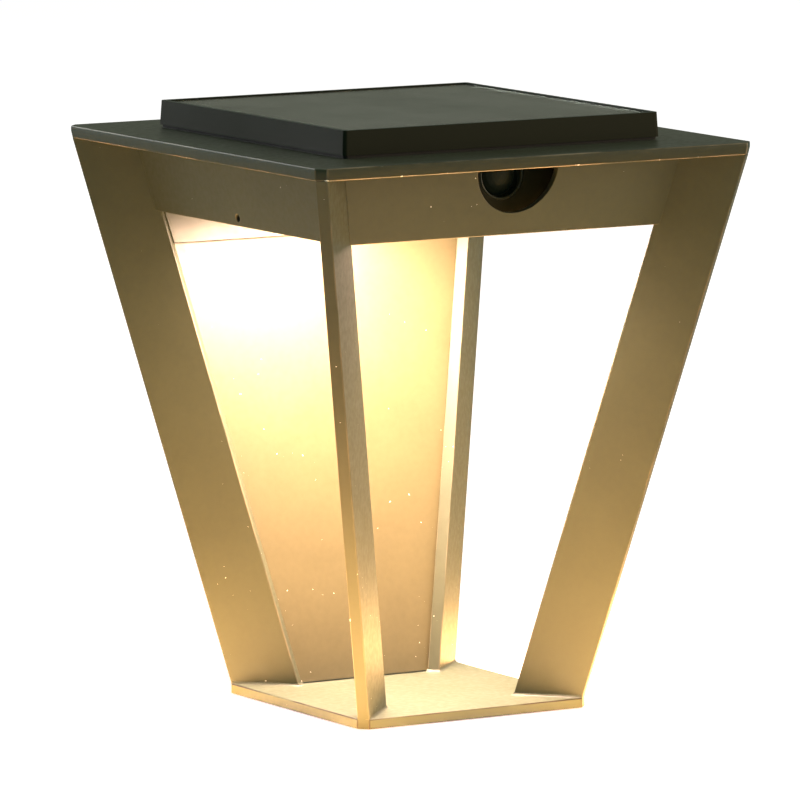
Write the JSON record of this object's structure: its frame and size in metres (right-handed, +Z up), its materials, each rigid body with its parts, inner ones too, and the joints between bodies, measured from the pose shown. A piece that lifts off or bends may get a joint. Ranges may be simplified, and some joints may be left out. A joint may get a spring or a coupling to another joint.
{
  "type": "solar wall light",
  "caption": "Tapered lantern wall light: painted plate frame, lift-out solar module with motion sensor that lights downwards, and a hook-on wall bracket.",
  "frame": {"origin": "centre of the wall bracket's two screw holes, on the wall plane", "axes": "+Z up, +Y into the wall, so the lamp stands out towards -Y; +X to the right seen from the front"},
  "size_m": [0.2, 0.2, 0.24],
  "materials": {
    "frame_paint": "fine-textured satin powder coat, dark olive taupe",
    "bracket_steel": "satin powder coat",
    "screw_steel": "satin",
    "black_plastic": "fine matte",
    "sensor_lens": "satin, dark",
    "switch_plastic": "matte",
    "seal_rubber": "matte",
    "circuit_board": "solder resist",
    "lamp_board": "white solder resist",
    "solar_cell": "silicon under glass",
    "solar_glass": "satin etched",
    "opal_diffuser": "opal",
    "white_plastic": "matte white",
    "led_chip": "phosphor",
    "battery_sleeve": "shrink sleeve",
    "tab_nickel": "bright",
    "board_component": "matte",
    "sensor_metal": "satin",
    "wire_sleeve": "insulated wire"
  },
  "bodies": {
    "bracket": {"wall_bracket": "bracket_steel"},
    "lamp": {"top_plate": "frame_paint", "base_plate": "frame_paint", "skirt_front": "frame_paint", "skirt_right": "frame_paint", "skirt_left": "frame_paint", "skirt_rear": "frame_paint", "back_panel": "frame_paint", "blade_front_left": "frame_paint", "blade_front_right": "frame_paint", "blade_rear_left": "frame_paint", "blade_rear_right": "frame_paint", "locking_grub_screws": "screw_steel", "hanger_plate": "bracket_steel", "hanger_screws": "screw_steel"},
    "module": {"module_housing": "black_plastic", "module_seal": "seal_rubber", "solar_board": "circuit_board", "solar_cells": "solar_cell", "solar_glass": "solar_glass", "bottom_cover": "black_plastic", "cover_screws": "screw_steel", "cover_seal": "seal_rubber", "diffuser": "opal_diffuser", "reflector": "white_plastic", "led_board": "lamp_board", "leds": "led_chip", "led_board_screws": "screw_steel", "carrier": "black_plastic", "battery_cells": "battery_sleeve", "battery_holder": "black_plastic", "battery_tabs": "tab_nickel", "battery_leads": "wire_sleeve", "main_board": "circuit_board", "main_board_screws": "screw_steel", "board_parts": "board_component", "solar_leads": "wire_sleeve", "led_leads": "wire_sleeve", "sensor_bezel": "black_plastic", "sensor_lens": "sensor_lens", "sensor_board": "circuit_board", "sensor_can": "sensor_metal", "button_switch": "switch_plastic", "button_board": "circuit_board"},
    "button": {"mode_button": "black_plastic", "switch_plunger": "switch_plastic"}
  },
  "joints": [
    {"name": "lamp_lift", "type": "slide", "parent": "bracket", "child": "lamp", "axis": [0, 0, 1], "range_m": [0, 0.014]},
    {"name": "module_lift", "type": "slide", "parent": "lamp", "child": "module", "axis": [0, 0, 1], "range_m": [0, 0.032]},
    {"name": "mode_button_press", "type": "slide", "parent": "module", "child": "button", "axis": [0, 0, 1], "range_m": [0, 0.001], "stiffness_N_per_m": 500, "springref_m": -0.0006}
  ]
}
